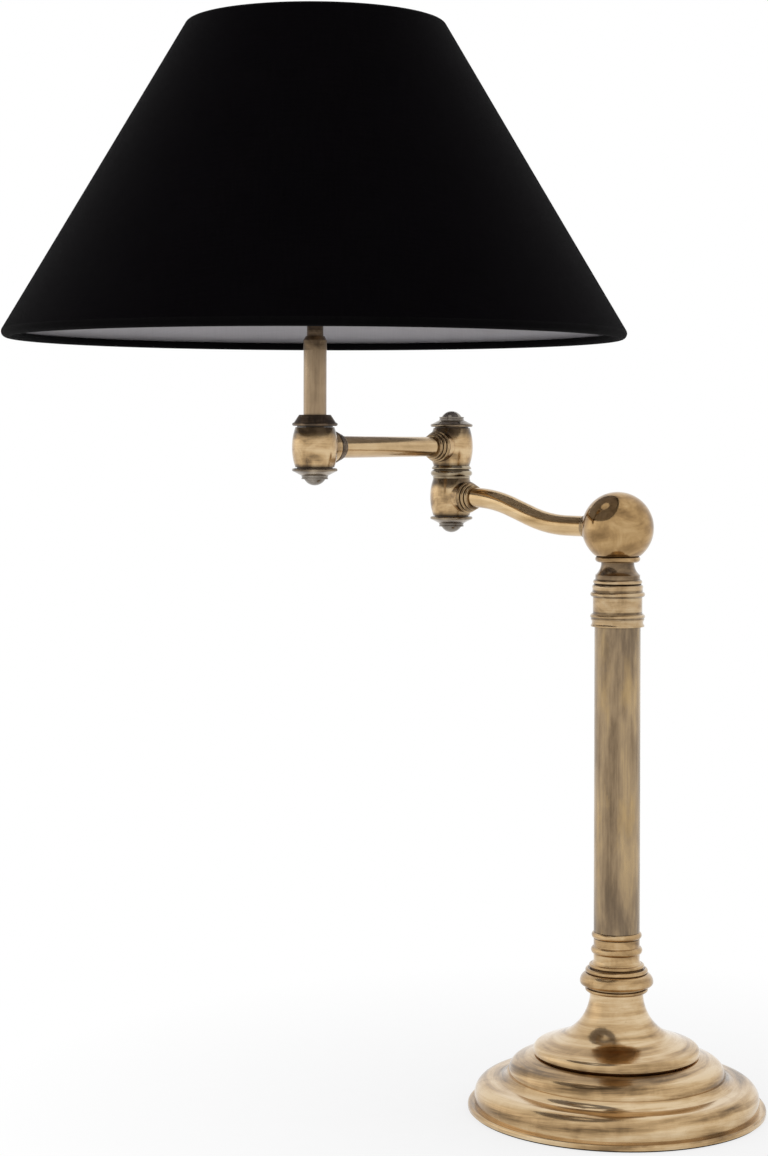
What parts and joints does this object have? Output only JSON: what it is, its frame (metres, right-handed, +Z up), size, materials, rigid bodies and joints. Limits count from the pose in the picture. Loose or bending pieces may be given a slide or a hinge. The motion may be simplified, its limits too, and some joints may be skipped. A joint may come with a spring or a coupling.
{
  "type": "swing arm table lamp",
  "caption": "Table lamp with a stepped round foot, a plain column, two stacked swing arms on swivels and a black cone shade over a screw socket with a turn switch.",
  "frame": {"origin": "on the column axis at the underside of the felt pad", "axes": "+Z up, +X to the right of the picture, +Y away from its camera"},
  "size_m": [0.4908, 0.3999, 0.6982],
  "materials": {
    "aged_brass": "aged, satin, with fine turning marks",
    "dull_brass": "aged and duller, with streaks along the tube",
    "dark_brass": "dark bronzed",
    "iron": "as cast",
    "steel": "plain",
    "white_steel": "white coated wire",
    "black_plastic": "matte",
    "porcelain": "glazed",
    "felt": "felt",
    "shade_fabric": "matte black woven cloth",
    "lining": "smooth pale lining"
  },
  "bodies": {
    "stand": {"felt_pad": "felt", "base_shell": "aged_brass", "base_weight": "iron", "base_washer": "steel", "base_nut": "steel", "cord_bush": "black_plastic", "tie_rod": "steel", "foot_collar": "aged_brass", "column_tube": "dull_brass", "capital": "aged_brass", "swivel_seat": "aged_brass"},
    "lower_arm": {"swivel_neck": "aged_brass", "swivel_nut": "steel", "ball": "aged_brass", "ball_collar": "aged_brass", "lower_tube": "aged_brass", "lower_collar": "aged_brass", "lower_knuckle": "aged_brass", "lower_flange": "aged_brass", "lower_cap": "aged_brass", "elbow_spindle": "steel", "elbow_ring_low": "aged_brass", "friction_washer": "black_plastic", "elbow_nut": "steel"},
    "upper_arm": {"elbow_ring_up": "aged_brass", "upper_knuckle": "aged_brass", "upper_flange": "aged_brass", "upper_cap": "aged_brass", "upper_collar": "aged_brass", "upper_tube": "aged_brass", "end_collar": "aged_brass", "end_knuckle": "aged_brass", "end_flange": "aged_brass", "end_cap": "aged_brass"},
    "head": {"stem_spindle": "steel", "stem_nut": "steel", "stem_bell": "aged_brass", "stem_tube": "aged_brass", "stem_sleeve": "dark_brass", "nipple": "aged_brass", "holder_cap": "aged_brass", "holder_shell": "aged_brass", "holder_core": "porcelain", "socket_shell": "aged_brass", "socket_contact": "aged_brass", "shade_ring": "black_plastic", "shade_spider": "white_steel", "shade_wire": "white_steel", "shade_skin": "shade_fabric", "shade_lining": "lining", "hem_top": "shade_fabric", "hem_low": "shade_fabric"},
    "switch": {"switch_shaft": "steel", "switch_knob": "black_plastic"}
  },
  "joints": [
    {"name": "column_swivel", "type": "hinge", "parent": "stand", "child": "lower_arm", "pos_m": [0, 0, 0.341], "axis": [0, 0, 1], "range_deg": [-170, 170]},
    {"name": "elbow_swing", "type": "hinge", "parent": "lower_arm", "child": "upper_arm", "pos_m": [-0.1038, 0.12176, 0.40822], "axis": [0, 0, 1], "range_deg": [-265, 62]},
    {"name": "stem_swivel", "type": "hinge", "parent": "upper_arm", "child": "head", "pos_m": [-0.19531, -0.00024, 0.43872], "axis": [0, 0, 1], "range_deg": [-170, 170]},
    {"name": "switch_turn", "type": "hinge", "parent": "head", "child": "switch", "pos_m": [-0.19531, -0.00024, 0.53112], "axis": [-1, 0, 0], "continuous": true}
  ]
}
